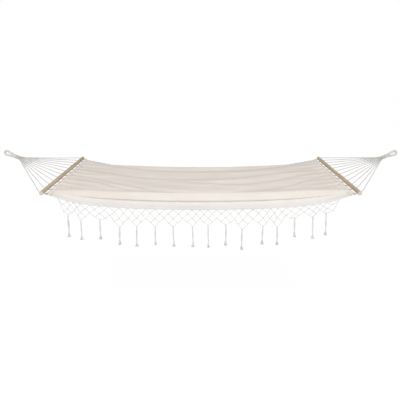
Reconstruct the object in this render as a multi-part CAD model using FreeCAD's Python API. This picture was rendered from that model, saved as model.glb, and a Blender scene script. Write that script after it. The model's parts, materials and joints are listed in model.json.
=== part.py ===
"""Fringed spreader-bar hammock: cloth bed, two wooden bars, corded ends with rope eyes.

Millimetres, +Z up. The origin is where the left eye bears on its hook, +X runs to the right
eye and +Y across the bed. The right end is the left end mirrored about the middle of the bed.
"""
import FreeCAD
import Part
import math
import os
from FreeCAD import Vector

# overall
SEAT_SPAN = 2902.0        # from the left eye's seat to the right eye's seat
BAR_X = 431.0             # bar axis, from the nearer seat
BAR_Z = -160.0            # bar axis, below the seats
MIDDLE_X = SEAT_SPAN / 2

# rope eye and its whipped neck
EYE_SLOPE = math.radians(23)
EYE_CORD_R = 8.0
EYE_BEND_R = 15.0         # of the loop's centreline round the hook
THROAT = 72.0             # along the rope, where the two legs meet
COLLAR_START = 66.0
COLLAR_R = 12.5
NECK_GAP_X = 1.5          # between the eye's collar and the whipping, along X
NECK_START = 78.0         # along the rope, where the collar ends and the whipping starts
NECK_END = 106.0
WHIPPING_R = 13.0
WHIPPING_CHAMFER = 2.0

# clew cords, one through each hole of the bar
CORD_COUNT = 12
CORD_R = 2.75
BUNDLE_STEP_Y = 2.0       # between neighbouring cords where they leave the neck
BUNDLE_ROW = 6.0          # between the bundle's three rows
BUNDLE_GAP = 3.5          # from the neck's pivot to the cord ends
CORD_BEND_R = 10.0        # where a cord turns into its hole
MOUTH_OFFSET = 23.0       # from the bar axis to that turn

# the cord woven back and forth through the fan of clew cords, close to the neck
WEFT_R = 1.6
WEFT_SHARES = [0.12, 0.145, 0.17, 0.195, 0.22, 0.245, 0.27]
WEFT_OVERHANG = 5.0       # past the outer cords
WEFT_GAP = 0.5

# spreader bar
BAR_LENGTH = 820.0
BAR_R = 14.0
BAR_ROUNDING = 3.0
HOLE_PITCH = 71.5
HOLE_R = 3.9

# hem: each clew cord ends in a ring that turns on the cord in the hem
HEM_OFFSET = 30.0         # from the bar axis to the hem cord, along the clew cords
RING_R = 6.4
RING_CORD_R = 2.9
HEM_CORD_R = 2.7
HEM_CORD_LENGTH = 808.0
BINDING_R = 4.8
BINDING_BORE_R = 3.0
BINDING_NOTCH = 6.0       # half the opening left for each ring
BINDING_LIP = 12.0        # from the hem cord to the edge of the sheet
BINDING_LIP_T = 3.0

# cloth bed
SHEET_T = 3.0
SHEET_GAP = 0.4           # from the binding's lip to the sheet
SAG = 46.0                # of the ridges at mid length
MID_DIP = 16.0            # of the middle line below the ridges
RIDGE_HALF = 303.0        # half width between the two ridges
FLAP_FROM = 0.74          # share of the half width that lies on top
FLAP_DROP = 80.0
FLAP_OUT = 55.0
END_OUT = 94.0
SHEET_STATIONS = 33
SHEET_COLUMNS = 41
SHEET_PROBE = 0.01        # step across for the slope of the cloth

# fringe: a knotted net with a tassel at each of its points, uneven because it is tied by hand
TASSEL_X = [-880, -800, -675, -545, -430, -305, -185, -55, 50, 170, 280, 420, 515, 630, 750, 835]
NET_DEPTH = [100, 115, 95, 135, 120, 120, 115, 115, 110, 105, 140, 120, 135, 80, 85, 75]
TASSEL_LENGTH = [155, 140, 140, 125, 145, 130, 145, 145, 155, 145, 145, 130, 125, 130, 155, 155]
NET_T = 3.0
NET_ARCH = 0.5            # height of the net between two tassels, as a share of its depth
NET_END = 60.0            # of net beyond the outer tassels
NET_GAP = 1.5             # below the sheet's edge
KNOT_R = 6.5
STEM_R = 4.5
TUFT_R = 11.0
TUFT_LENGTH = 32.0
KNOT_GAP = 1.0

Y = Vector(0, 1, 0)
ROPE = Vector(math.cos(EYE_SLOPE), 0, -math.sin(EYE_SLOPE))
ROPE_UP = Vector(math.sin(EYE_SLOPE), 0, math.cos(EYE_SLOPE))
NECK_PIVOT = ROPE * (NECK_END + BUNDLE_GAP / 2)
BAR = Vector(BAR_X, 0, BAR_Z)
CLEW = (BAR - NECK_PIVOT).normalize()
CLEW_UP = Vector(-CLEW.z, 0, CLEW.x)
HEM = BAR + CLEW * HEM_OFFSET
HALF_BED = MIDDLE_X - HEM.x


def write(name, shape):
    """Export one node and say what it holds."""
    if not shape.isValid():
        raise ValueError(name + " is not valid")
    shape.exportStep("parts/" + name + ".step")
    print(f"{name}: {len(shape.Solids)} solid(s), {shape.Volume / 1000:.1f} cm3")


def mirrored(shape):
    """The same piece for the right end."""
    return shape.mirror(Vector(MIDDLE_X, 0, 0), Vector(1, 0, 0))


def write_pair(name, shape):
    write("left_" + name, shape)
    write("right_" + name, mirrored(shape))


def bent_cord(start, corner, end, radius, bend_radius):
    """A round cord of two straight runs joined by a tangent arc."""
    into = (corner - start).normalize()
    out = (end - corner).normalize()
    half_turn = into.getAngle(out) / 2
    setback = bend_radius * math.tan(half_turn)
    arc_start = corner - into * setback
    arc_end = corner + out * setback
    to_centre = (out - into).normalize()
    arc_middle = corner + to_centre * (bend_radius / math.cos(half_turn) - bend_radius)
    path = Part.Wire([
        Part.LineSegment(start, arc_start).toShape(),
        Part.Arc(arc_start, arc_middle, arc_end).toShape(),
        Part.LineSegment(arc_end, end).toShape(),
    ])
    section = Part.Wire(Part.Circle(start, into, radius).toShape())
    return path.makePipeShell([section], True, False)


def rope_point(along, up):
    """A point in the plane of the eye, measured from the seat."""
    return ROPE * along + ROPE_UP * up


def rope_eye():
    """A teardrop loop of rope whose legs meet in a bound collar."""
    centre_along = EYE_BEND_R - EYE_CORD_R
    reach = math.hypot(THROAT - centre_along, EYE_CORD_R)
    lean = math.atan2(EYE_CORD_R, THROAT - centre_along)
    touch = lean + math.acos(EYE_BEND_R / reach)
    touch_along = centre_along + EYE_BEND_R * math.cos(touch)
    touch_up = EYE_BEND_R * math.sin(touch)
    upper = rope_point(THROAT, EYE_CORD_R)
    path = Part.Wire([
        Part.LineSegment(upper, rope_point(touch_along, touch_up)).toShape(),
        Part.Arc(
            rope_point(touch_along, touch_up),
            rope_point(-EYE_CORD_R, 0),
            rope_point(touch_along, -touch_up),
        ).toShape(),
        Part.LineSegment(rope_point(touch_along, -touch_up), rope_point(THROAT, -EYE_CORD_R)).toShape(),
    ])
    leg = rope_point(touch_along, touch_up) - upper
    loop = path.makePipeShell([Part.Wire(Part.Circle(upper, leg, EYE_CORD_R).toShape())], True, False)
    collar = Part.makeCylinder(COLLAR_R, NECK_START - COLLAR_START + COLLAR_R, ROPE * COLLAR_START, ROPE)
    return loop.fuse(collar).cut(beyond_x(ROPE.x * NECK_START)).removeSplitter()


def beyond_x(x):
    """Everything near the neck on the bed's side of a plane across X."""
    side = NECK_END * 2
    return Part.makeBox(side, side, side, Vector(x, -side / 2, -side))


def whipping():
    """The binding round the neck, flat across X where it turns against the eye."""
    start = NECK_START - COLLAR_R
    sleeve = Part.makeCylinder(WHIPPING_R, NECK_END - start, ROPE * start, ROPE)
    rim = [edge for edge in sleeve.Edges if edge.BoundBox.Center.x > ROPE.x * (NECK_END - 1)]
    sleeve = sleeve.makeChamfer(WHIPPING_CHAMFER, rim)
    return sleeve.common(beyond_x(ROPE.x * NECK_START + NECK_GAP_X))


def hole_y(index):
    return (index - (CORD_COUNT - 1) / 2) * HOLE_PITCH


def clew_cord(index):
    """From the neck to its hole, through the bar, ending in a ring round the hem cord."""
    bundle_y = (index - (CORD_COUNT - 1) / 2) * BUNDLE_STEP_Y
    bundle_up = (index % 3 - 1) * BUNDLE_ROW
    start = NECK_PIVOT + CLEW * (BUNDLE_GAP / 2) + Y * bundle_y + CLEW_UP * bundle_up
    corner = BAR - CLEW * MOUTH_OFFSET + Y * hole_y(index)
    end = HEM - CLEW * RING_R + Y * hole_y(index)
    cord = bent_cord(start, corner, end, CORD_R, CORD_BEND_R)
    ring = Part.makeTorus(RING_R, RING_CORD_R, HEM + Y * hole_y(index), Y)
    return cord.fuse(ring)


def weft_row(share, over):
    """One pass of the woven cord across the fan, at a share of the way from neck to bar."""
    middle = NECK_PIVOT + CLEW * (share * (BAR - NECK_PIVOT).Length)
    lift = BUNDLE_ROW * (1 - share) + CORD_R + WEFT_R + WEFT_GAP
    middle += CLEW_UP * (lift if over else -lift)
    half = share * hole_y(CORD_COUNT - 1) + WEFT_OVERHANG
    return Part.makeCylinder(WEFT_R, 2 * half, middle - Y * half, Y)


def clew_weft():
    return Part.Compound([weft_row(share, i % 2 == 0) for i, share in enumerate(WEFT_SHARES)])


def spreader_bar():
    bar = Part.makeCylinder(BAR_R, BAR_LENGTH, BAR - Y * (BAR_LENGTH / 2), Y)
    ends = [edge for edge in bar.Edges if abs(edge.BoundBox.YLength) < 1]
    bar = bar.makeFillet(BAR_ROUNDING, ends)
    for index in range(CORD_COUNT):
        start = BAR - CLEW * (2 * BAR_R) + Y * hole_y(index)
        bar = bar.cut(Part.makeCylinder(HOLE_R, 4 * BAR_R, start, CLEW))
    return bar


def end_binding():
    """The doubled end of the cloth: a tunnel for the hem cord between each two rings."""
    length = HOLE_PITCH - 2 * BINDING_NOTCH
    pieces = []
    for index in range(CORD_COUNT - 1):
        foot = HEM + Y * (hole_y(index) + BINDING_NOTCH)
        tunnel = Part.makeCylinder(BINDING_R, length, foot, Y)
        lip = Part.makeBox(BINDING_LIP, length, BINDING_LIP_T, foot - Vector(0, 0, BINDING_LIP_T / 2))
        bore = Part.makeCylinder(BINDING_BORE_R, length, foot, Y)
        pieces.append(tunnel.fuse(lip).cut(bore))
    return Part.Compound(pieces)


def hem_cord():
    return Part.makeCylinder(HEM_CORD_R, HEM_CORD_LENGTH, HEM - Y * (HEM_CORD_LENGTH / 2), Y)


def sheet_point(s, v):
    """Middle of the cloth at s along and v across, both from -1 to 1."""
    side = math.copysign(1, v)
    across = min(abs(v) / FLAP_FROM, 1)
    down = max(abs(v) - FLAP_FROM, 0) / (1 - FLAP_FROM)
    near_end = s ** 6
    y = across * RIDGE_HALF
    y += (FLAP_OUT + (END_OUT - FLAP_OUT) * near_end) * down
    z = HEM.z - SAG * (1 - s * s) - MID_DIP * (1 - s ** 4) * (1 - across ** 2)
    z -= FLAP_DROP * (1 - near_end) * down ** 1.3
    return Vector(MIDDLE_X + s * (HALF_BED - BINDING_LIP - SHEET_GAP), side * y, z)


def sheet_upward(s, v):
    """The direction square to the cloth's cross-section."""
    across = sheet_point(s, v + SHEET_PROBE) - sheet_point(s, v - SHEET_PROBE)
    return Vector(0, -across.z, across.y).normalize()


def smooth_face(rows):
    surface = Part.BSplineSurface()
    surface.interpolate(rows)
    return surface.toShape()


def slab(top_rows, bottom_rows):
    """A closed solid between smooth surfaces through two sets of rows."""
    top = smooth_face(top_rows)
    bottom = smooth_face(bottom_rows)
    walls = [Part.makeRuledSurface(a, b) for a, b in zip(top.Edges, bottom.Edges)]
    shell = Part.Shell([top, bottom] + walls)
    solid = Part.Solid(shell)
    if solid.Volume < 0:
        solid.reverse()
    return solid


def sheet_rows(lift):
    """Rows of points of the cloth, moved off its middle by lift."""
    along = [2 * i / (SHEET_STATIONS - 1) - 1 for i in range(SHEET_STATIONS)]
    across = [2 * j / (SHEET_COLUMNS - 1) - 1 for j in range(SHEET_COLUMNS)]
    return [[sheet_point(s, v) + sheet_upward(s, v) * lift for v in across] for s in along]


def fabric_bed():
    return slab(sheet_rows(SHEET_T / 2), sheet_rows(-SHEET_T / 2))


def hem_edge(x):
    """The far long edge of the cloth, at a distance x from mid length."""
    return sheet_point(x / HALF_BED, 1)


def tassel_knot(index):
    """Centre of the far tassel's knot: it hangs straight below the edge."""
    edge = hem_edge(TASSEL_X[index])
    return edge - Vector(0, 0, NET_DEPTH[index])


def fringe_net():
    """The net's outline as a thin panel: a point at each tassel and an arch between two."""
    stations = [(TASSEL_X[0] - NET_END, NET_DEPTH[0] * NET_ARCH)]
    for x, depth, next_x in zip(TASSEL_X, NET_DEPTH, TASSEL_X[1:] + [TASSEL_X[-1] + 2 * NET_END]):
        stations.append((x, depth - KNOT_R - KNOT_GAP))
        stations.append(((x + next_x) / 2, depth * NET_ARCH))
    top = []
    bottom = []
    for x, depth in stations:
        edge = hem_edge(x) - Vector(0, 0, SHEET_T / 2 + NET_GAP)
        top.append(edge)
        bottom.append(edge - Vector(0, 0, depth - SHEET_T / 2 - NET_GAP))
    panels = []
    for i in range(len(stations) - 1):
        corners = [top[i], top[i + 1], bottom[i + 1], bottom[i]]
        panels.append(panel(corners))
    net = panels[0]
    for piece in panels[1:]:
        net = net.fuse(piece)
    return net


def panel(corners):
    """A flat-sided block NET_T thick in Y through four corners that share one vertical edge pair."""
    front = [corner - Y * (NET_T / 2) for corner in corners]
    back = [corner + Y * (NET_T / 2) for corner in corners]
    faces = [Part.Face(Part.makePolygon(loop + [loop[0]])) for loop in (front, back)]
    for i in range(len(corners)):
        j = (i + 1) % len(corners)
        faces.append(Part.Face(Part.makePolygon([front[i], front[j], back[j], back[i], front[i]])))
    solid = Part.Solid(Part.Shell(faces))
    if solid.Volume < 0:
        solid.reverse()
    return solid


def tassel(index):
    """A knot, a straight bundle of strands and a tuft where they spread."""
    length = TASSEL_LENGTH[index]
    ball_foot = math.sqrt(KNOT_R ** 2 - STEM_R ** 2)
    outline = [
        Vector(STEM_R, 0, -ball_foot),
        Vector(STEM_R, 0, TUFT_LENGTH - length),
        Vector(TUFT_R, 0, -length),
        Vector(0, 0, -length),
        Vector(0, 0, KNOT_R),
    ]
    edges = [Part.LineSegment(a, b).toShape() for a, b in zip(outline, outline[1:])]
    knot_side = Vector(KNOT_R, 0, 0)
    edges.append(Part.Arc(outline[-1], knot_side, outline[0]).toShape())
    solid = Part.Face(Part.Wire(edges)).revolve(Vector(0, 0, 0), Vector(0, 0, 1), 360)
    solid.translate(tassel_knot(index))
    return solid


def near(shape):
    """The near side is the far side mirrored across the middle line."""
    return shape.mirror(Vector(0, 0, 0), Y)


def main():
    os.makedirs("parts", exist_ok=True)
    write_pair("eye", rope_eye())
    write_pair("whipping", whipping())
    write_pair("clew_cords", Part.Compound([clew_cord(i) for i in range(CORD_COUNT)]))
    write_pair("clew_weft", clew_weft())
    write_pair("spreader_bar", spreader_bar())
    write_pair("hem_cord", hem_cord())
    write_pair("end_binding", end_binding())
    write("fabric_bed", fabric_bed())
    net = fringe_net()
    write("far_fringe_net", net)
    write("near_fringe_net", near(net))
    for index in range(len(TASSEL_X)):
        piece = tassel(index)
        write(f"far_tassel_{index + 1:02d}", piece)
        write(f"near_tassel_{index + 1:02d}", near(piece))


main()
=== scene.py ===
"""Looks of the fringed spreader-bar hammock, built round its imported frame. Metres, +Z up."""
import json
import math
import random

import bpy
import numpy as np
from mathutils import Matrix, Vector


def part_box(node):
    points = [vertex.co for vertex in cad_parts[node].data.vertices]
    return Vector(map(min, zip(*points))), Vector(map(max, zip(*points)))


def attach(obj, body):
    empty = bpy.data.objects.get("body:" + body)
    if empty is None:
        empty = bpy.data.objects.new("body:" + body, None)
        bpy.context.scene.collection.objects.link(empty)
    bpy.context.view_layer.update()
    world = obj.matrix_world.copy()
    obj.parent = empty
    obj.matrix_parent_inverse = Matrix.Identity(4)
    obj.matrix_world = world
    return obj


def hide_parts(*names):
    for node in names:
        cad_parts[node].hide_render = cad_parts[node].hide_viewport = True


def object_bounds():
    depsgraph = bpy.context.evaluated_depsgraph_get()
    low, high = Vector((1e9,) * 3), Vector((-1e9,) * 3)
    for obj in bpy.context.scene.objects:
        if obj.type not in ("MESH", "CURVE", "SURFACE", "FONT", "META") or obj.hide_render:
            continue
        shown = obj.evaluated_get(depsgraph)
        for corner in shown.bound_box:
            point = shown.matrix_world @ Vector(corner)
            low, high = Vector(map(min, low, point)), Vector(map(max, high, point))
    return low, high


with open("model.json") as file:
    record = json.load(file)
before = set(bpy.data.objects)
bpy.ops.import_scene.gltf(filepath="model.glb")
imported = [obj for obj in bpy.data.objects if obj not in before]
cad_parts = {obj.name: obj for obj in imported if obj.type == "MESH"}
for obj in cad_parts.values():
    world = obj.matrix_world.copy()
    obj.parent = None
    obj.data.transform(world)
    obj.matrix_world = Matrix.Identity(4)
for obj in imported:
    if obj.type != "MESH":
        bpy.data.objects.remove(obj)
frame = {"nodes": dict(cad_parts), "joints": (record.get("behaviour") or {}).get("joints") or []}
CAD_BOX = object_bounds()
MM = 0.001
UP = np.array((0.0, 0.0, 1.0))
ACROSS = np.array((0.0, 1.0, 0.0))
JOINTS = {joint["name"]: np.array(joint["pos_m"]) for joint in frame["joints"]}
dice = random.Random(7)

# places read from the frame
LEFT_NECK = JOINTS["left_clew_pitch"]
LEFT_HEM = JOINTS["left_hem_pitch"]
RIGHT_HEM = JOINTS["right_hem_pitch"]
MIDDLE_X = (LEFT_HEM[0] + RIGHT_HEM[0]) / 2
HALF_BED = (RIGHT_HEM[0] - LEFT_HEM[0]) / 2
HEM_Z = LEFT_HEM[2]
BAR_LOW, BAR_HIGH = (np.array(corner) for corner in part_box("left_spreader_bar"))
LEFT_BAR = (BAR_LOW + BAR_HIGH) / 2
FAN = LEFT_BAR - LEFT_NECK
FAN_LENGTH = np.linalg.norm(FAN)
CLEW = FAN / FAN_LENGTH
CLEW_UP = np.array((-CLEW[2], 0.0, CLEW[0]))
TASSELS = sorted(name for name in JOINTS if "far_tassel" in name)

# cords and holes, as in the frame
CORD_COUNT = 12
HOLE_PITCH = 71.5 * MM
CORD_R = 2.75 * MM
HEM_CORD_R = 2.7 * MM
RING_R = 6.4 * MM
WEFT_R = 1.4 * MM
WEFT_SHARES = [0.12, 0.145, 0.17, 0.195, 0.22, 0.245, 0.27]

# cloth
SHEET_T = 1.2 * MM
BAND = 26 * MM            # width of the doubled band over the sheet's ends
NOTCH = 6 * MM            # half the opening in the band at each ring
CUT_BACK = 10 * MM        # where the sheet starts, from the hem cord
EDGE_STRIP = 56 * MM      # width of the strip that carries the fringe, drawn paler and greyer than the bed: partly its own trim, partly painted highlight
BAND_T = 0.9 * MM
HEM_T = 0.7 * MM
BAND_TURN = 7 * MM        # from the hem cord to where the band's two layers lie flat
STITCH_PITCH = 4.2 * MM
STITCH_LENGTH = 2.9 * MM


# ---------------------------------------------------------------- mesh helpers


class Builder:
    """Collects vertices and faces of many small forms for one mesh."""

    def __init__(self):
        self.points = []
        self.faces = []
        self.count = 0

    def add(self, points, faces):
        faces = np.asarray(faces, int)
        self.points.append(np.asarray(points, float))
        self.faces.append(np.where(faces < 0, -1, faces + self.count))
        self.count += len(points)

    def piece(self, name, body, slot, material, replaces=()):
        mesh = bpy.data.meshes.new(name)
        points = np.concatenate(self.points)
        faces = [tuple(int(i) for i in face if i >= 0) for block in self.faces for face in block]
        mesh.from_pydata(points.tolist(), [], faces)
        mesh.polygons.foreach_set("use_smooth", [True] * len(mesh.polygons))
        mesh.materials.append(material)
        mesh.update()
        piece = bpy.data.objects.new(name, mesh)
        bpy.context.scene.collection.objects.link(piece)
        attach(piece, body)
        if replaces:
            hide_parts(*replaces)
        return piece


def mirrored(points):
    """The same points at the right end."""
    flipped = np.array(points, float)
    flipped[..., 0] = 2 * MIDDLE_X - flipped[..., 0]
    return flipped


def end_name(side):
    return "left" if side < 0 else "right"


def edge_name(side):
    return "near" if side < 0 else "far"


def placer(side):
    """Puts points made for the left end at the end that side asks for."""
    return np.asarray if side < 0 else mirrored


def resample(path, step):
    """The path's points at even distances of about one step."""
    path = np.asarray(path, float)
    lengths = np.linalg.norm(np.diff(path, axis=0), axis=1)
    along = np.concatenate(([0], np.cumsum(lengths)))
    count = max(int(round(along[-1] / step)), 2)
    at = np.linspace(0, along[-1], count + 1)
    return np.stack([np.interp(at, along, path[:, k]) for k in range(3)], axis=1)


def smooth_path(corners, step, tightness=0.5):
    """A Catmull-Rom curve through the corners, at even distances."""
    corners = np.asarray(corners, float)
    padded = np.concatenate((2 * corners[:1] - corners[1:2], corners, 2 * corners[-1:] - corners[-2:-1]))
    t = np.linspace(0, 1, 12, endpoint=False)[:, None]
    pieces = []
    for a, b, c, d in zip(padded, padded[1:], padded[2:], padded[3:]):
        slope_b = (c - a) * tightness
        slope_c = (d - b) * tightness
        pieces.append(
            (2 * t**3 - 3 * t**2 + 1) * b + (t**3 - 2 * t**2 + t) * slope_b
            + (3 * t**2 - 2 * t**3) * c + (t**3 - t**2) * slope_c
        )
    pieces.append(corners[-1:])
    return resample(np.concatenate(pieces), step)


def frames_along(path, closed):
    """Two normals at each point, carried along without twist."""
    ahead = np.roll(path, -1, axis=0) - np.roll(path, 1, axis=0)
    if not closed:
        ahead[0] = path[1] - path[0]
        ahead[-1] = path[-1] - path[-2]
    tangents = ahead / np.linalg.norm(ahead, axis=1)[:, None]
    seed = ACROSS if abs(tangents[0] @ ACROSS) < 0.8 else UP
    normal = seed - tangents[0] * (seed @ tangents[0])
    normals = []
    for tangent in tangents:
        normal = normal - tangent * (normal @ tangent)
        normal = normal / np.linalg.norm(normal)
        normals.append(normal)
    normals = np.array(normals)
    return normals, np.cross(tangents, normals)


def tube(path, radius, sides, closed=False):
    """Vertices and faces of a tube. radius is a number or a function of distance and angle."""
    path = np.asarray(path, float)
    steps = np.linalg.norm(np.diff(path, axis=0), axis=1)
    along = np.concatenate(([0], np.cumsum(steps)))[:, None]
    angle = np.linspace(0, 2 * math.pi, sides, endpoint=False)[None, :]
    r = radius(along, angle) if callable(radius) else np.full((len(path), sides), radius)
    normals, binormals = frames_along(path, closed)
    ring = normals[:, None] * np.cos(angle)[..., None] + binormals[:, None] * np.sin(angle)[..., None]
    points = (path[:, None] + ring * r[..., None]).reshape(-1, 3)
    rows = len(path)
    i = np.arange(rows if closed else rows - 1)[:, None]
    j = np.arange(sides)[None, :]
    after_i = (i + 1) % rows
    after_j = (j + 1) % sides
    quads = np.stack(
        [i * sides + j, i * sides + after_j, after_i * sides + after_j, after_i * sides + j], axis=-1
    ).reshape(-1, 4)
    if closed:
        return points, quads
    ends = np.array([path[0], path[-1]])
    last = (rows - 1) * sides
    first_fan = [(len(points), (k + 1) % sides, k, -1) for k in range(sides)]
    last_fan = [(len(points) + 1, last + k, last + (k + 1) % sides, -1) for k in range(sides)]
    return np.concatenate((points, ends)), np.concatenate((quads, first_fan, last_fan))


SOFT = 0.35               # share of a plain cylinder in a laid rope's surface


def laid(radius, strands=3, lay=2.6):
    """Radius of a laid rope's surface: strands side by side that turn once in lay diameters."""
    strand = radius / (1 + 1 / math.sin(math.pi / strands))
    off = radius - strand

    def surface(along, angle):
        turn = angle - 2 * math.pi * along / (lay * 2 * radius)
        near = np.mod(turn + math.pi / strands, 2 * math.pi / strands) - math.pi / strands
        reach = np.maximum(strand**2 - (off * np.sin(near)) ** 2, (0.35 * strand) ** 2)
        return (1 - SOFT) * (off * np.cos(near) + np.sqrt(reach)) + SOFT * 0.94 * radius

    return surface


def wound(core, twine, slope=1):
    """Radius of a core with twine wound closely round it."""

    def surface(along, angle):
        phase = along / twine - slope * angle / (2 * math.pi)
        return core + twine * 0.42 * np.abs(np.sin(math.pi * phase)) ** 0.7

    return surface


def knot(centre, size, cord, turn):
    """A small closed knot of cord, a trefoil flattened and turned about the vertical."""
    t = np.linspace(0, 2 * math.pi, 44, endpoint=False)
    x = (np.sin(t) + 2 * np.sin(2 * t)) / 3
    z = (np.cos(t) - 2 * np.cos(2 * t)) / 3
    y = -np.sin(3 * t) * 0.42
    c, s = math.cos(turn), math.sin(turn)
    path = np.stack((c * x - s * y, s * x + c * y, z), axis=1) * size + centre
    return tube(path, cord, 6, closed=True)


# ------------------------------------------------------------------- materials


def new_material(name, roughness, sheen=0.0):
    material = bpy.data.materials.new(name)
    material.use_nodes = True
    shader = material.node_tree.nodes["Principled BSDF"]
    shader.inputs["Roughness"].default_value = roughness
    shader.inputs["Specular IOR Level"].default_value = 0.25
    shader.inputs["Sheen Weight"].default_value = sheen
    shader.inputs["Sheen Roughness"].default_value = 0.6
    return material, material.node_tree, shader


def link(tree, source, target):
    tree.links.new(source, target)


def node(tree, kind, **values):
    made = tree.nodes.new(kind)
    for key, value in values.items():
        if key in made.inputs:
            made.inputs[key].default_value = value
        else:
            setattr(made, key, value)
    return made


def mapped(tree, scale):
    """Object coordinates, scaled."""
    place = node(tree, "ShaderNodeTexCoord")
    mapping = node(tree, "ShaderNodeMapping")
    mapping.inputs["Scale"].default_value = scale
    link(tree, place.outputs["Object"], mapping.inputs["Vector"])
    return mapping.outputs["Vector"]


def ramp(tree, source, dark, light, low=0.3, high=0.7):
    made = node(tree, "ShaderNodeValToRGB")
    made.color_ramp.elements[0].color = (*dark, 1)
    made.color_ramp.elements[1].color = (*light, 1)
    made.color_ramp.elements[0].position = low
    made.color_ramp.elements[1].position = high
    link(tree, source, made.inputs["Fac"])
    return made.outputs["Color"]


MIX_FACTOR, MIX_FIRST, MIX_SECOND, MIX_RESULT = 0, 6, 7, 2    # sockets of a Mix node set to colours


def multiply_colours(tree, first, second, factor):
    made = node(tree, "ShaderNodeMix", data_type="RGBA", blend_type="MULTIPLY")
    made.inputs[MIX_FACTOR].default_value = factor
    link(tree, first, made.inputs[MIX_FIRST])
    link(tree, second, made.inputs[MIX_SECOND])
    return made.outputs[MIX_RESULT]


def bumps(tree, shader, heights):
    """Chain of bumps: (height socket, strength, distance in metres)."""
    normal = None
    for height, strength, distance in heights:
        made = node(tree, "ShaderNodeBump", Strength=strength, Distance=distance)
        link(tree, height, made.inputs["Height"])
        if normal:
            link(tree, normal, made.inputs["Normal"])
        normal = made.outputs["Normal"]
    link(tree, normal, shader.inputs["Normal"])


def cloth_material(name, dark, light):
    """Plain-woven undyed cotton: crossing threads, slubs along the bed and faint blotches."""
    material, tree, shader = new_material(name, 0.9, 0.25)
    warp = node(tree, "ShaderNodeTexWave", bands_direction="Y", Scale=260.0, Distortion=0.6)
    weft = node(tree, "ShaderNodeTexWave", bands_direction="X", Scale=260.0, Distortion=0.6)
    place = mapped(tree, (1, 1, 1))
    link(tree, place, warp.inputs["Vector"])
    link(tree, place, weft.inputs["Vector"])
    weave = node(tree, "ShaderNodeMath", operation="MULTIPLY")
    link(tree, warp.outputs["Fac"], weave.inputs[0])
    link(tree, weft.outputs["Fac"], weave.inputs[1])
    slub = node(tree, "ShaderNodeTexNoise", Scale=40.0, Detail=4.0, Roughness=0.6)
    link(tree, mapped(tree, (0.25, 8, 8)), slub.inputs["Vector"])
    blotch = node(tree, "ShaderNodeTexNoise", Scale=3.0, Detail=3.0)
    link(tree, mapped(tree, (1, 2.5, 2.5)), blotch.inputs["Vector"])
    base = ramp(tree, blotch.outputs["Fac"], dark, light)
    threads = ramp(tree, slub.outputs["Fac"], (0.93, 0.92, 0.91), (1, 1, 1), 0.35, 0.6)
    gaps = ramp(tree, weave.outputs[0], (0.88, 0.86, 0.84), (1, 1, 1), 0.0, 0.5)
    colour = multiply_colours(tree, multiply_colours(tree, base, threads, 0.8), gaps, 0.6)
    link(tree, colour, shader.inputs["Base Color"])
    bumps(tree, shader, [(slub.outputs["Fac"], 0.35, 0.0006), (weave.outputs[0], 0.5, 0.0003)])
    return material


def cotton_cord_material(name, dark, light, fibre=900.0):
    """Soft cotton yarn: fine fibres along the strand and a little shading between them."""
    material, tree, shader = new_material(name, 0.88, 0.3)
    fibres = node(tree, "ShaderNodeTexNoise", Scale=fibre, Detail=3.0, Roughness=0.7)
    link(tree, mapped(tree, (1, 1, 0.35)), fibres.inputs["Vector"])
    patches = node(tree, "ShaderNodeTexNoise", Scale=22.0, Detail=2.0)
    link(tree, mapped(tree, (1, 1, 1)), patches.inputs["Vector"])
    base = ramp(tree, patches.outputs["Fac"], dark, light)
    grain = ramp(tree, fibres.outputs["Fac"], (0.86, 0.85, 0.84), (1, 1, 1), 0.35, 0.65)
    link(tree, multiply_colours(tree, base, grain, 0.7), shader.inputs["Base Color"])
    bumps(tree, shader, [(fibres.outputs["Fac"], 0.5, 0.0004)])
    return material


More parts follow.
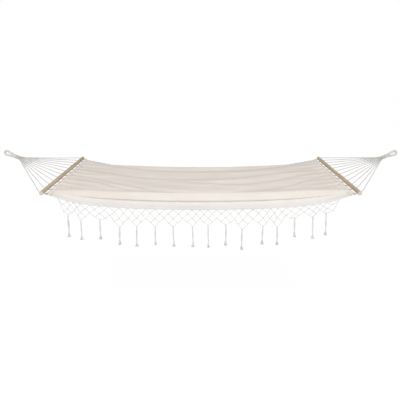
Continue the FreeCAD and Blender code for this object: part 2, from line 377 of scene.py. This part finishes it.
def wood_material():
    """Pale sanded hardwood turned into a dowel, its grain along the bar and paler at the sawn ends."""
    material, tree, shader = new_material("pale_hardwood", 0.5)
    shader.inputs["Specular IOR Level"].default_value = 0.4
    rings = node(tree, "ShaderNodeTexNoise", Scale=60.0, Detail=5.0, Roughness=0.55, Distortion=0.4)
    link(tree, mapped(tree, (1.6, 0.06, 1.6)), rings.inputs["Vector"])
    pores = node(tree, "ShaderNodeTexNoise", Scale=500.0, Detail=2.0)
    link(tree, mapped(tree, (1, 0.03, 1)), pores.inputs["Vector"])
    tone = node(tree, "ShaderNodeTexNoise", Scale=4.0, Detail=2.0)
    link(tree, mapped(tree, (1, 1, 1)), tone.inputs["Vector"])
    base = ramp(tree, rings.outputs["Fac"], (0.47, 0.37, 0.26), (0.68, 0.56, 0.42), 0.35, 0.65)
    fine = ramp(tree, pores.outputs["Fac"], (0.84, 0.81, 0.78), (1, 1, 1), 0.35, 0.6)
    wide = ramp(tree, tone.outputs["Fac"], (0.90, 0.88, 0.86), (1.0, 1.0, 1.0))
    side = multiply_colours(tree, multiply_colours(tree, base, fine, 0.8), wide, 0.8)
    place = mapped(tree, (1, 1, 1))
    axes = node(tree, "ShaderNodeSeparateXYZ")
    link(tree, place, axes.inputs[0])
    out = node(tree, "ShaderNodeMath", operation="ABSOLUTE")
    link(tree, axes.outputs["Y"], out.inputs[0])
    sawn = node(tree, "ShaderNodeMath", operation="GREATER_THAN")
    sawn.inputs[1].default_value = BAR_HIGH[1] - 0.6 * MM
    link(tree, out.outputs[0], sawn.inputs[0])
    growth = node(tree, "ShaderNodeTexWave", wave_type="RINGS", rings_direction="Y",
                  Scale=130.0, Distortion=2.5, Detail=2.0)
    link(tree, place, growth.inputs["Vector"])
    end_grain = ramp(tree, growth.outputs["Fac"], (0.58, 0.50, 0.41), (0.72, 0.65, 0.56))
    pick = node(tree, "ShaderNodeMix", data_type="RGBA")
    link(tree, sawn.outputs[0], pick.inputs[MIX_FACTOR])
    link(tree, side, pick.inputs[MIX_FIRST])
    link(tree, end_grain, pick.inputs[MIX_SECOND])
    link(tree, pick.outputs[MIX_RESULT], shader.inputs["Base Color"])
    rough = node(tree, "ShaderNodeMapRange", **{"To Min": 0.42, "To Max": 0.62})
    link(tree, rings.outputs["Fac"], rough.inputs["Value"])
    link(tree, rough.outputs["Result"], shader.inputs["Roughness"])
    bumps(tree, shader, [(rings.outputs["Fac"], 0.2, 0.0004), (pores.outputs["Fac"], 0.25, 0.0002)])
    return material


CLOTH = cloth_material("undyed_cotton_cloth", (0.785, 0.715, 0.65), (0.845, 0.785, 0.73))
# A paler, greyer copy of the bed cloth for the long edge strips and hems: partly their own trim colour,
# partly painted highlight of the lit edge.
EDGE_TRIM_AND_HIGHLIGHT_CLOTH = cloth_material("paler_edge_cloth", (0.77, 0.74, 0.715), (0.82, 0.80, 0.78))
# The cords' grey is partly their own colour and partly painted shade on off-white cotton.
CORD = cotton_cord_material("clew_cotton_cord", (0.56, 0.54, 0.52), (0.66, 0.645, 0.625))
FRINGE = cotton_cord_material("fringe_cotton_yarn", (0.78, 0.775, 0.765), (0.86, 0.855, 0.85), 700.0)
SERVING = cotton_cord_material("eye_serving_twine", (0.62, 0.605, 0.59), (0.72, 0.705, 0.69), 1200.0)
TWINE = cotton_cord_material("whipping_twine", (0.50, 0.46, 0.42), (0.60, 0.555, 0.51), 1200.0)
THREAD = cotton_cord_material("stitching_thread", (0.72, 0.66, 0.58), (0.82, 0.77, 0.70), 2000.0)
WOOD = wood_material()


# ------------------------------------------------------------------- the cloth

RING_Y = [(index - (CORD_COUNT - 1) / 2) * HOLE_PITCH for index in range(CORD_COUNT)]
# half of the cross-section at mid length, from the middle line to the long edge (across, height)
NEAR_SECTION = [(0, -16), (60, -15), (120, -16), (180, -16), (235, -13), (264, -8), (283, 3), (300, 11),
                (316, 7), (333, -8), (343, -19), (345, -24), (340, -31), (341, -38), (350, -53), (358, -79)]
FAR_SECTION = [(0, -16), (70, -13), (140, -10), (200, -8), (235, -7), (262, -9), (290, -3), (314, 1),
               (330, -3), (342, -16), (350, -41), (358, -79)]
SAG = 44 * MM
END_EDGE = 397 * MM
# long folds: where each runs (share of the half length, across in mm), depth and half width in mm
FOLDS = [
    ([(-1, 330), (-0.7, 270), (-0.35, 222), (0, 218), (0.35, 222), (0.7, 270), (1, 330)], 6.8, 34),
    ([(-1, 155), (-0.7, 100), (-0.4, 48), (0, 44), (0.3, 70), (0.6, 122), (1, 190)], 7.2, 34),
    ([(-0.35, 0), (0, -30), (0.3, -72), (0.55, -25), (0.8, 60), (1, 120)], 6.0, 30),
    ([(-1, -20), (-0.77, -93), (-0.65, -144), (-0.52, -189), (-0.3, -236)], 5.4, 26),
    ([(-0.95, 20), (-0.67, -68), (-0.52, -121), (-0.41, -166), (-0.28, -203), (0, -240)], 6.2, 28),
    ([(0.1, -235), (0.3, -205), (0.45, -185), (0.63, -145), (0.75, -90), (0.95, -20)], 5.8, 28),
    ([(-0.75, -245), (-0.5, -238), (-0.25, -245), (0, -262), (0.25, -246), (0.5, -222), (0.8, -190)],
     5.6, 28),
]
# pleats of the left and the right end: ring's place, height, reach and drift across
PLEATS = [
    [(y, dice.uniform(5.5, 9.0) * MM, dice.uniform(0.14, 0.34), dice.uniform(-0.05, 0.05)) for y in RING_Y]
    for _ in range(2)
]
# small wrinkles: across, drift, along, half length, height and half width
CREASES = [
    (dice.uniform(-0.32, 0.32), dice.uniform(-0.06, 0.06), dice.uniform(-0.8, 0.8), dice.uniform(0.25, 0.7),
     dice.choice((-1, 1)) * dice.uniform(0.6, 1.5) * MM, dice.uniform(6, 14) * MM)
    for _ in range(34)
]


def section_curve(corners):
    """The cross-section as even steps of its length, from 0 to 1."""
    path = np.array([(0, across, height) for across, height in corners], float) * MM
    return smooth_path(path, 1 * MM)


NEAR_CURVE = section_curve(NEAR_SECTION)
FAR_CURVE = section_curve(FAR_SECTION)


def section(v):
    """Across and height at mid length for v from -1, the near edge, to 1, the far edge."""
    share = np.abs(v)
    near_at = np.linspace(0, 1, len(NEAR_CURVE))
    far_at = np.linspace(0, 1, len(FAR_CURVE))

    def read(axis):
        far = np.interp(share, far_at, FAR_CURVE[:, axis])
        near = np.interp(share, near_at, NEAR_CURVE[:, axis])
        return np.where(v >= 0, far, near)

    return read(1) * np.sign(v), read(2)


def pleats(s, across, side):
    """Height of the pleats that run out from the rings of one end."""
    distance = (1 - side * s) * HALF_BED
    height = np.zeros_like(distance + across)
    for ring_y, rise, reach, drift in PLEATS[0 if side < 0 else 1]:
        line = ring_y * (1 - 0.10 * distance) + drift * distance
        width = 10 * MM + 0.045 * distance
        height = height + rise * np.exp(-distance / reach) * np.exp(-(((across - line) / width) ** 2))
    taut = 1 - np.exp(-distance / 0.02)
    return height - 3.0 * MM * np.exp(-distance / 0.16) * taut


def long_folds(s, across):
    """Height of the long folds: each rises on its near side and falls away behind."""
    height = np.zeros_like(s + across)
    for route, depth, half_width in FOLDS:
        line = smooth_path([(at, y * MM, 0) for at, y in route], 0.02)
        middle = np.interp(s, line[:, 0], line[:, 1])
        first, last = route[0][0], route[-1][0]
        share = np.clip((s - first) / (last - first), 0, 1)
        strength = np.sqrt(np.clip(np.sin(math.pi * share), 0, 1))
        u = (across - middle) / (half_width * MM)
        height = height - depth * MM * strength * u * np.exp(0.5 - u**2 / 2)
    for y, drift, at, length, rise, width in CREASES:
        middle = y + drift * (s - at)
        along = np.exp(-(((s - at) / length) ** 2))
        height = height + rise * along * np.exp(-(((across - middle) / width) ** 2))
    return height


def cloth(s, v):
    """A point of the cloth at s along (-1 left hem, 1 right hem) and v across (-1 near edge, 1 far)."""
    s = np.asarray(s, float)
    v = np.asarray(v, float)
    mid_across, mid_height = section(v)
    opening = np.where(s < 0, np.abs(s) ** 1.7, np.abs(s) ** 1.4)
    far = np.clip(v / 0.8, 0, 1) ** 2
    far = far * (3 - 2 * far)
    to_end = s**8 * (1 - far) + opening * far
    gather = (0.55 * s**4 + 0.45 * s**10) * (1 - far) + opening * far
    across = mid_across * (1 - gather) + v * END_EDGE * gather
    height = mid_height * (1 - to_end) * (1 - 0.25 * s**4)
    height = height - SAG * (1 - s * s)
    inside = 1 - np.abs(v) ** 10
    height = height + long_folds(s, across) * (1 - s**12) * inside
    for side in (-1, 1):
        height = height + pleats(s, across, side) * inside
    x = MIDDLE_X + s * HALF_BED
    return np.stack((x + 0 * v, across + 0 * s, HEM_Z + height), axis=-1)


def grid_faces(rows, columns, keep=None):
    i = np.arange(rows - 1)[:, None]
    j = np.arange(columns - 1)[None, :]
    quads = np.stack(
        [i * columns + j, i * columns + j + 1, (i + 1) * columns + j + 1, (i + 1) * columns + j], axis=-1
    )
    if keep is not None:
        return quads[keep]
    return quads.reshape(-1, 4)


def add_thickness(piece, thickness):
    made = piece.modifiers.new("thickness", "SOLIDIFY")
    made.thickness = thickness
    made.offset = 0


def make_sheet():
    """The bed's one sheet of cloth, its rows of vertices closer together towards the ends."""
    rows, columns = 420, 300
    crowding = 0.86
    at_hem = 1 - CUT_BACK / HALF_BED
    s = np.sin(np.linspace(-1, 1, rows) * math.pi / 2 * crowding) / math.sin(math.pi / 2 * crowding) * at_hem
    v = np.linspace(-1, 1, columns)
    points = cloth(s[:, None], v[None, :])
    build = Builder()
    build.add(points.reshape(-1, 3), grid_faces(rows, columns))
    piece = build.piece("woven_bed", "bed", "bed_cloth", CLOTH, ["fabric_bed"])
    # The strips along the long edges take the paler cloth, which is partly painted highlight.
    piece.data.materials.append(EDGE_TRIM_AND_HIGHLIGHT_CLOTH)
    middle = (v[1:] + v[:-1]) / 2
    reach = np.where(middle < 0, len(NEAR_CURVE), len(FAR_CURVE)) * MM
    is_edge = (1 - np.abs(middle)) * reach < EDGE_STRIP
    piece.data.polygons.foreach_set("material_index", np.tile(is_edge.astype(int), rows - 1))
    add_thickness(piece, SHEET_T)


def make_band(side):
    """The doubled band round the hem cord and over the sheet's end, cut open at each ring."""
    name = end_name(side)
    wrap = 4.4 * MM
    angles = np.linspace(math.pi / 2 * 0.85, 2 * math.pi - math.pi / 2 * 0.85, 15)
    turn = [(wrap * math.cos(a), wrap * math.sin(a)) for a in angles]
    over = [(d, 1.5 * MM) for d in np.linspace(BAND, BAND_TURN, 10)]
    under = [(d, -1.5 * MM) for d in np.linspace(BAND_TURN, BAND, 10)]
    profile = np.array(over + turn + under)
    columns = 900
    across = np.linspace(-END_EDGE, END_EDGE, columns)
    inward = profile[:, 0][:, None]
    s = side * (1 - np.maximum(inward, 0) / HALF_BED)
    v = across[None, :] / END_EDGE
    base = cloth(s + 0 * v, np.clip(v + 0 * s, -1, 1))
    pucker = 0.5 * MM * np.sin(across * 2 * math.pi / (9 * MM))[None, :] * (inward > BAND_TURN)
    settle = np.clip(inward / BAND, 0, 1) ** 0.8
    z = HEM_Z + (base[..., 2] - HEM_Z) * settle + profile[:, 1][:, None] + pucker
    x = MIDDLE_X + side * (HALF_BED - inward) + 0 * across
    y = across[None, :] + 0 * inward
    nearest = np.min(np.abs(across[:, None] - np.array(RING_Y)[None, :]), axis=1)
    cut = (nearest < NOTCH) | (np.abs(across) > RING_Y[-1])
    open_at = cut[None, :] & (inward < CUT_BACK)
    solid = ~open_at
    keep = solid[:-1, :-1] & solid[1:, :-1] & solid[:-1, 1:] & solid[1:, 1:]
    build = Builder()
    build.add(np.stack((x, y, z), axis=-1).reshape(-1, 3), grid_faces(len(profile), columns, keep))
    piece = build.piece(name + "_end_band", "bed", "bed_cloth", CLOTH, [name + "_end_binding"])
    add_thickness(piece, BAND_T)


def make_stitches():
    """Two rows of stitches along each end band."""
    build = Builder()
    for side in (-1, 1):
        for inward in (BAND - 3 * MM, BAND - 7 * MM):
            s = side * (1 - inward / HALF_BED)
            settle = (inward / BAND) ** 0.8
            for y in np.arange(-392, 390, STITCH_PITCH / MM) * MM:
                across = np.linspace(y, y + STITCH_LENGTH, 3)
                stitch = cloth(np.full(3, s), across / END_EDGE)
                rise = 2.2 * MM + np.array((-0.5, 0.1, -0.5)) * MM
                stitch[:, 2] = HEM_Z + (stitch[:, 2] - HEM_Z) * settle + rise
                stitch[:, 1] = across
                build.add(*tube(stitch, 0.4 * MM, 5))
    build.piece("end_band_stitches", "bed", "bed_cloth", THREAD)


def make_long_hem(side):
    """The rolled hem along a long edge."""
    name = edge_name(side)
    s = np.linspace(-0.985, 0.985, 420)
    edge = cloth(s, np.full_like(s, side * 1.0))
    inner = cloth(s, np.full_like(s, side * 0.965))
    outward = edge - inner
    outward = outward / np.linalg.norm(outward, axis=1)[:, None]
    normal = np.cross(outward, np.gradient(edge, axis=0))
    normal = normal / np.linalg.norm(normal, axis=1)[:, None]
    over = [(-15, 1.3), (-9, 1.5), (-2, 1.9), (0.8, 1.2)]
    profile = over + [(1.4, 0)] + [(d, -h) for d, h in reversed(over)]
    rows = [edge + outward * (d * MM) + normal * (h * MM) for d, h in profile]
    build = Builder()
    build.add(np.stack(rows, axis=0).reshape(-1, 3), grid_faces(len(profile), len(s)))
    piece = build.piece(name + "_long_hem", "bed", "bed_cloth", EDGE_TRIM_AND_HIGHLIGHT_CLOTH)
    add_thickness(piece, HEM_T)


# ------------------------------------------------------------ ropes at the ends


MOUTH = 23 * MM           # from the bar axis to where a cord straightens into its hole


def clew_point(index, share):
    """A point of a left clew cord at a share of the way from the neck to the bar."""
    bundle_y = (index - (CORD_COUNT - 1) / 2) * 2.0 * MM
    spread = min(share / (1 - MOUTH / FAN_LENGTH), 1)
    across = bundle_y + (RING_Y[index] - bundle_y) * spread
    row = (index % 3 - 1) * 6.0 * MM * max(1 - share / 0.11, 0) ** 1.5
    return LEFT_NECK + FAN * share + ACROSS * across + CLEW_UP * row


def make_clew_cords(side):
    """One end's cords: each through its hole in the bar to a ring, lashed with two turns of twine."""
    name = end_name(side)
    cords = Builder()
    place = placer(side)
    for index, ring_y in enumerate(RING_Y):
        root = clew_point(index, 0)
        inside = LEFT_NECK + (root - LEFT_NECK) * 0.8 - CLEW * 6 * MM
        bow = UP * -1 * abs(dice.gauss(1.2, 0.6)) * MM
        corners = [inside, root + CLEW * 1 * MM]
        for share in (0.03, 0.06, 0.1, 0.2, 0.35, 0.5, 0.65, 0.8, 0.9):
            corners.append(clew_point(index, share) + bow * 4 * share * (1 - share))
        ring_centre = LEFT_HEM + ACROSS * ring_y
        corners += [clew_point(index, 0.96), LEFT_BAR + ACROSS * ring_y, ring_centre - CLEW * RING_R]
        cords.add(*tube(place(smooth_path(corners, 1.6 * MM)), laid(CORD_R), 12))
        t = np.linspace(0, 2 * math.pi, 40, endpoint=False)
        wobble = dice.uniform(-0.8, 0.8) * MM
        ring = ring_centre + RING_R * (np.cos(t)[:, None] * CLEW + np.sin(t)[:, None] * CLEW_UP)
        ring = ring + ACROSS * wobble * np.cos(t)[:, None]
        cords.add(*tube(place(ring), laid(CORD_R), 12, closed=True))
        for turn in (-1.1, 1.1):
            wrap_centre = ring_centre - CLEW * (RING_R + 4.8 * MM - turn * MM)
            wrap = wrap_centre + 3.4 * MM * (np.cos(t)[:, None] * ACROSS + np.sin(t)[:, None] * CLEW_UP)
            cords.add(*tube(place(wrap[::2]), 1.1 * MM, 6, closed=True))
    cords.piece(name + "_clew_cord_set", name + "_clew", "clew_rope", CORD, [name + "_clew_cords"])


def make_weave(side):
    """One long cord woven back and forth through the fan, over one clew cord and under the next."""
    name = end_name(side)
    place = placer(side)
    lift = CORD_R + WEFT_R
    corners = []
    for row, share in enumerate(WEFT_SHARES):
        order = range(CORD_COUNT) if row % 2 == 0 else range(CORD_COUNT - 1, -1, -1)
        outward = ACROSS * (1 if row % 2 == 0 else -1)
        for index in order:
            over = 1 if (index + row) % 2 == 0 else -1
            corners.append(clew_point(index, share) + CLEW_UP * lift * over)
        corners.append(corners[-1] + outward * 5 * MM + CLEW * 4 * MM - CLEW_UP * lift * over)
    build = Builder()
    build.add(*tube(place(smooth_path(corners, 1.2 * MM, 0.4)), laid(WEFT_R), 9))
    build.piece(name + "_clew_weave", name + "_clew", "clew_rope", FRINGE, [name + "_clew_weft"])


def make_hem_cord(side):
    """The straight cord inside an end hem, that the rings pull on."""
    name = end_name(side)
    low, high = (np.array(corner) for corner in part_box(name + "_hem_cord"))
    centre = (low + high) / 2
    path = [(centre[0], low[1], centre[2]), (centre[0], high[1], centre[2])]
    build = Builder()
    build.add(*tube(resample(path, 1.8 * MM), laid(HEM_CORD_R), 12))
    build.piece(name + "_hem_rope", "bed", "hem_rope", CORD, [name + "_hem_cord"])


def eye_path():
    """The teardrop centreline of the left eye, from the seat at the origin."""
    slope = math.atan2(-LEFT_NECK[2], LEFT_NECK[0])
    rope = np.array((math.cos(slope), 0, -math.sin(slope)))
    rope_up = np.array((math.sin(slope), 0, math.cos(slope)))
    bend, cord, throat, leg = 15 * MM, 8 * MM, 66 * MM, 6.4 * MM
    centre = bend - cord
    reach = math.hypot(throat - centre, leg)
    touch = math.atan2(leg, throat - centre) + math.acos(bend / reach)
    arc = np.linspace(touch, 2 * math.pi - touch, 60)
    flat = [(throat + 5 * MM, 0.8 * leg), (throat, leg)]
    flat += [(centre + bend * math.cos(a), bend * math.sin(a)) for a in arc]
    flat += [(throat, -leg), (throat + 5 * MM, -0.8 * leg)]
    return np.array([rope * a + rope_up * b for a, b in flat]), rope


def cut_upright(form, sides, at_end, limit, place, rope):
    """A straight tube with one end cut in an upright plane, so that it can turn about the seats' line."""
    points, faces = form
    local = place(points)
    rows = (len(local) - 2) // sides
    body = local[:-2].reshape(rows, sides, 3)
    slide = (limit - body[-1 if at_end else 0, :, 0]) / rope[0]
    weight = np.linspace(0, 1, rows) if at_end else np.linspace(1, 0, rows)
    body = body + (weight[:, None] * slide)[..., None] * rope
    caps = local[-2:].copy()
    cap = 1 if at_end else 0
    caps[cap] += rope * (limit - caps[cap, 0]) / rope[0]
    return place(np.concatenate((body.reshape(-1, 3), caps))), faces


def make_eye(side):
    """The served eye with its collar, and the twine wound round the gathered cords behind it."""
    name = end_name(side)
    place = placer(side)
    path, rope = eye_path()
    build = Builder()
    build.add(*tube(place(resample(path, 0.6 * MM)), wound(7.1 * MM, 2.1 * MM), 24))
    collar = np.array([rope * a for a in np.arange(66 * MM, 77.5 * MM, 0.5 * MM)])
    collar_form = tube(place(collar), wound(11.6 * MM, 1.9 * MM), 32)
    build.add(*cut_upright(collar_form, 32, True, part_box("left_eye")[1][0], place, rope))
    build.piece(name + "_served_eye", name + "_eye", "clew_rope", SERVING, [name + "_eye"])
    neck = Builder()
    sleeve = np.array([rope * a for a in np.arange(79.8 * MM, 105.5 * MM, 0.5 * MM)])
    sleeve_form = tube(place(sleeve), wound(12.0 * MM, 2.3 * MM, -1), 34)
    neck.add(*cut_upright(sleeve_form, 34, False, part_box("left_whipping")[0][0], place, rope))
    neck.piece(name + "_neck_whipping", name + "_neck", "whipping_twine", TWINE, [name + "_whipping"])


# ------------------------------------------------------------------- the fringe


NET_DROPS = (0, 0.26, 0.52, 0.77, 1)    # of the net's rows, from the cloth's edge to a tassel's knot
NET_LEFT = 56 * MM        # from the first tassel to the net's left end
NET_RIGHT = 78 * MM       # from the last tassel to the net's right end
TUFT = 30 * MM            # length of a tassel's frayed ends


def long_edge(x, side):
    """The cloth's long edge at a place along the bed."""
    s = (x - MIDDLE_X) / HALF_BED
    return cloth(np.array([s]), np.array([float(side)]))[0]


def net_nodes(side):
    """Knots of the net as {(row, column): point}. Odd columns hang over a tassel, row 4 is its knot."""
    name = edge_name(side)
    knots = [JOINTS[f"{name}_tassel_{i + 1:02d}_swing"] for i in range(len(TASSELS))]
    columns = {2 * i + 1: point for i, point in enumerate(knots)}
    x_at = {column: point[0] for column, point in columns.items()}
    low_at = {column: point[2] for column, point in columns.items()}
    last = 2 * len(knots)
    for column in range(2, last, 2):
        x_at[column] = (x_at[column - 1] + x_at[column + 1]) / 2
        low_at[column] = (low_at[column - 1] + low_at[column + 1]) / 2
    x_at[0], low_at[0] = x_at[1] - NET_LEFT, low_at[1]
    x_at[last], low_at[last] = x_at[last - 1] + NET_RIGHT, low_at[last - 1]

    def between(table, column):
        low = math.floor(column)
        return table[low] if low == column else (table[low] + table[low + 1]) / 2

    nodes = {}
    for row in range(5):
        shift = 0.5 if row % 2 else 0
        inset = {2: 1, 3: 0.5}.get(row, 0)
        for step in range(last + 1):
            column = step + shift
            if not inset <= column <= last - inset or (row == 4 and column not in columns):
                continue
            x = between(x_at, column)
            low = between(low_at, column)
            edge = long_edge(x, side)
            drop = NET_DROPS[row]
            point = np.array((x, edge[1], edge[2] * (1 - drop) + low * drop))
            if row in (1, 2, 3):
                point += (dice.gauss(0, 2.2) * MM, dice.gauss(0, 1.5) * MM, dice.gauss(0, 2.2) * MM)
            if row == 4:
                point = columns[column].copy()
            nodes[(row, column)] = point
    return nodes, last


def net_cord(build, start, end, slack):
    """A pair of yarns from knot to knot, hanging a little slack."""
    middle = (start + end) / 2 - UP * slack + np.array((0, dice.gauss(0, 1.0) * MM, 0))
    build.add(*tube(smooth_path([start, middle, end], 1.6 * MM), laid(3.1 * MM, 2, 3.0), 8))


def make_net(side):
    name = edge_name(side)
    nodes, last = net_nodes(side)
    build = Builder()
    for (row, column), point in nodes.items():
        for step in (-0.5, 0.5):
            below = (row + 1, column + step)
            if below in nodes:
                net_cord(build, point, nodes[below], abs(dice.gauss(0.8, 0.7)) * MM)
        if row in (1, 2, 3):
            build.add(*knot(point, 4.2 * MM, 1.9 * MM, dice.uniform(-0.6, 0.6)))
        if row == 0:
            for face in (-1, 1):
                loop = [point + np.array((dx, face * (1.9 + 0.6 * math.cos(k)), dz)) * MM
                        for k, (dx, dz) in enumerate(((-2.4, -4), (-2.0, 3), (0, 6.5), (2.0, 3), (2.4, -4)))]
                build.add(*tube(smooth_path(loop, 1.5 * MM), 1.3 * MM, 6))
            build.add(*knot(point - UP * 3.5 * MM, 3.2 * MM, 1.4 * MM, dice.uniform(-0.6, 0.6)))
    for column, neighbour in ((0, 0.5), (last, last - 0.5)):
        net_cord(build, nodes[(0, column)], nodes[(3, neighbour)], 0.5 * MM)
    build.piece(name + "_macrame_net", "bed", "fringe_cotton", FRINGE, [name + "_fringe_net"])


def make_tassel(side, index):
    """A wrapped knot, a bundle of yarns, a small knot near the foot and the frayed ends."""
    body = f"{edge_name(side)}_tassel_{index + 1:02d}"
    top = JOINTS[body + "_swing"]
    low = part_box(body)[0][2]
    length = top[2] - low
    build = Builder()
    build.add(*knot(top, 5.0 * MM, 2.3 * MM, dice.uniform(0, 3)))
    build.add(*knot(top - UP * 1.5 * MM, 4.2 * MM, 2.1 * MM, dice.uniform(0, 3)))
    lean = np.array((dice.gauss(0, 2.5), dice.gauss(0, 2.0), 0)) * MM
    waist = top - UP * (length - TUFT) + lean
    for k in range(7):
        around = 2 * math.pi * k / 6
        out = np.array((math.cos(around), math.sin(around), 0)) * (3.6 * MM if k < 6 else 0)
        turned = np.array((math.cos(around + 1.2), math.sin(around + 1.2), 0)) * (3.7 * MM if k < 6 else 0)
        middle = (top + waist) / 2 + turned + np.array((dice.gauss(0, 0.8), dice.gauss(0, 0.8), 0)) * MM
        path = smooth_path([top - UP * 3 * MM + out * 0.8, middle, waist + out * 0.7], 2.2 * MM)
        build.add(*tube(path, laid(2.2 * MM), 9))
    build.add(*knot(waist, 5.2 * MM, 2.3 * MM, dice.uniform(0, 3)))
    for k in range(64):
        around = dice.uniform(0, 2 * math.pi)
        spread = math.sqrt(dice.random())
        out = np.array((math.cos(around), math.sin(around), 0))
        foot = waist + out * spread * 12.0 * MM - UP * (TUFT - dice.uniform(0, 4) * MM)
        knee = waist + out * spread * 6.4 * MM - UP * TUFT * 0.4
        wave = np.array((dice.gauss(0, 0.7), dice.gauss(0, 0.7), 0)) * MM
        path = smooth_path([waist + out * spread * 3.5 * MM, knee + wave, foot], 3 * MM)
        build.add(*tube(path, 0.9 * MM, 4))
    build.piece(body + "_yarns", body, "fringe_cotton", FRINGE, [body])


# -------------------------------------------------------------------- the stage


SKY = 0.38
FLOOR_GLOW = 0.94
FLOOR_DROP = 0.9          # from the lowest tassel to the floor
LAMP_AT = (MIDDLE_X, -2.7, 3.9)
LAMP_TARGET = (MIDDLE_X, 0, -0.2)
LAMP_SIZE = (3.5, 1.5)
LAMP_POWER = 205
CAMERA_AT = (MIDDLE_X, -2.576, LEFT_BAR[2] + 0.8465)
CAMERA_TILT = 9           # degrees below level
CAMERA_LENS = 31.99
CAMERA_SHIFT = (-0.0015, -0.211)


def make_stage():
    low = CAD_BOX[0]
    bpy.ops.mesh.primitive_plane_add(size=60, location=(MIDDLE_X, 0, low[2] - FLOOR_DROP))
    floor = bpy.context.object
    floor.name = "floor"
    material = bpy.data.materials.new("pale_floor")
    material.use_nodes = True
    shader = material.node_tree.nodes["Principled BSDF"]
    shader.inputs["Base Color"].default_value = (0.12, 0.12, 0.12, 1)
    shader.inputs["Roughness"].default_value = 0.9
    shader.inputs["Emission Color"].default_value = (1, 1, 1, 1)
    shader.inputs["Emission Strength"].default_value = FLOOR_GLOW
    floor.data.materials.append(material)
    world = bpy.data.worlds.new("studio")
    world.use_nodes = True
    tree = world.node_tree
    shown = tree.nodes["Background"]
    shown.inputs["Color"].default_value = (1, 1, 1, 1)
    lit = node(tree, "ShaderNodeBackground", Strength=SKY)
    rays = node(tree, "ShaderNodeLightPath")
    either = node(tree, "ShaderNodeMixShader")
    link(tree, rays.outputs["Is Camera Ray"], either.inputs[0])
    link(tree, lit.outputs[0], either.inputs[1])
    link(tree, shown.outputs[0], either.inputs[2])
    link(tree, either.outputs[0], tree.nodes["World Output"].inputs["Surface"])
    bpy.context.scene.world = world
    bpy.context.scene.view_settings.view_transform = "Standard"


def make_light():
    data = bpy.data.lights.new("front_soft", "AREA")
    data.shape = "RECTANGLE"
    data.size, data.size_y = LAMP_SIZE
    data.energy = LAMP_POWER
    lamp = bpy.data.objects.new("front_soft", data)
    bpy.context.scene.collection.objects.link(lamp)
    lamp.location = LAMP_AT
    x, y, z = np.array(LAMP_AT) - np.array(LAMP_TARGET)
    lamp.rotation_euler = (math.atan2(math.hypot(x, y), z), 0, math.atan2(x, -y))


def make_camera():
    data = bpy.data.cameras.new("camera")
    data.sensor_width = 36
    data.lens = CAMERA_LENS
    data.shift_x, data.shift_y = CAMERA_SHIFT
    camera = bpy.data.objects.new("camera", data)
    bpy.context.scene.collection.objects.link(camera)
    camera.location = CAMERA_AT
    camera.rotation_euler = (math.radians(90 - CAMERA_TILT), 0, 0)
    bpy.context.scene.camera = camera


# --------------------------------------------------------------------- assembly


def main():
    make_stage()
    make_light()
    make_camera()
    for name in ("left_spreader_bar", "right_spreader_bar"):
        bar = frame["nodes"][name]
        bar.data.materials.clear()
        bar.data.materials.append(WOOD)
    make_sheet()
    make_stitches()
    for side in (-1, 1):
        make_band(side)
        make_long_hem(side)
        make_clew_cords(side)
        make_weave(side)
        make_hem_cord(side)
        make_eye(side)
        make_net(side)
        for index in range(len(TASSELS)):
            make_tassel(side, index)


main()
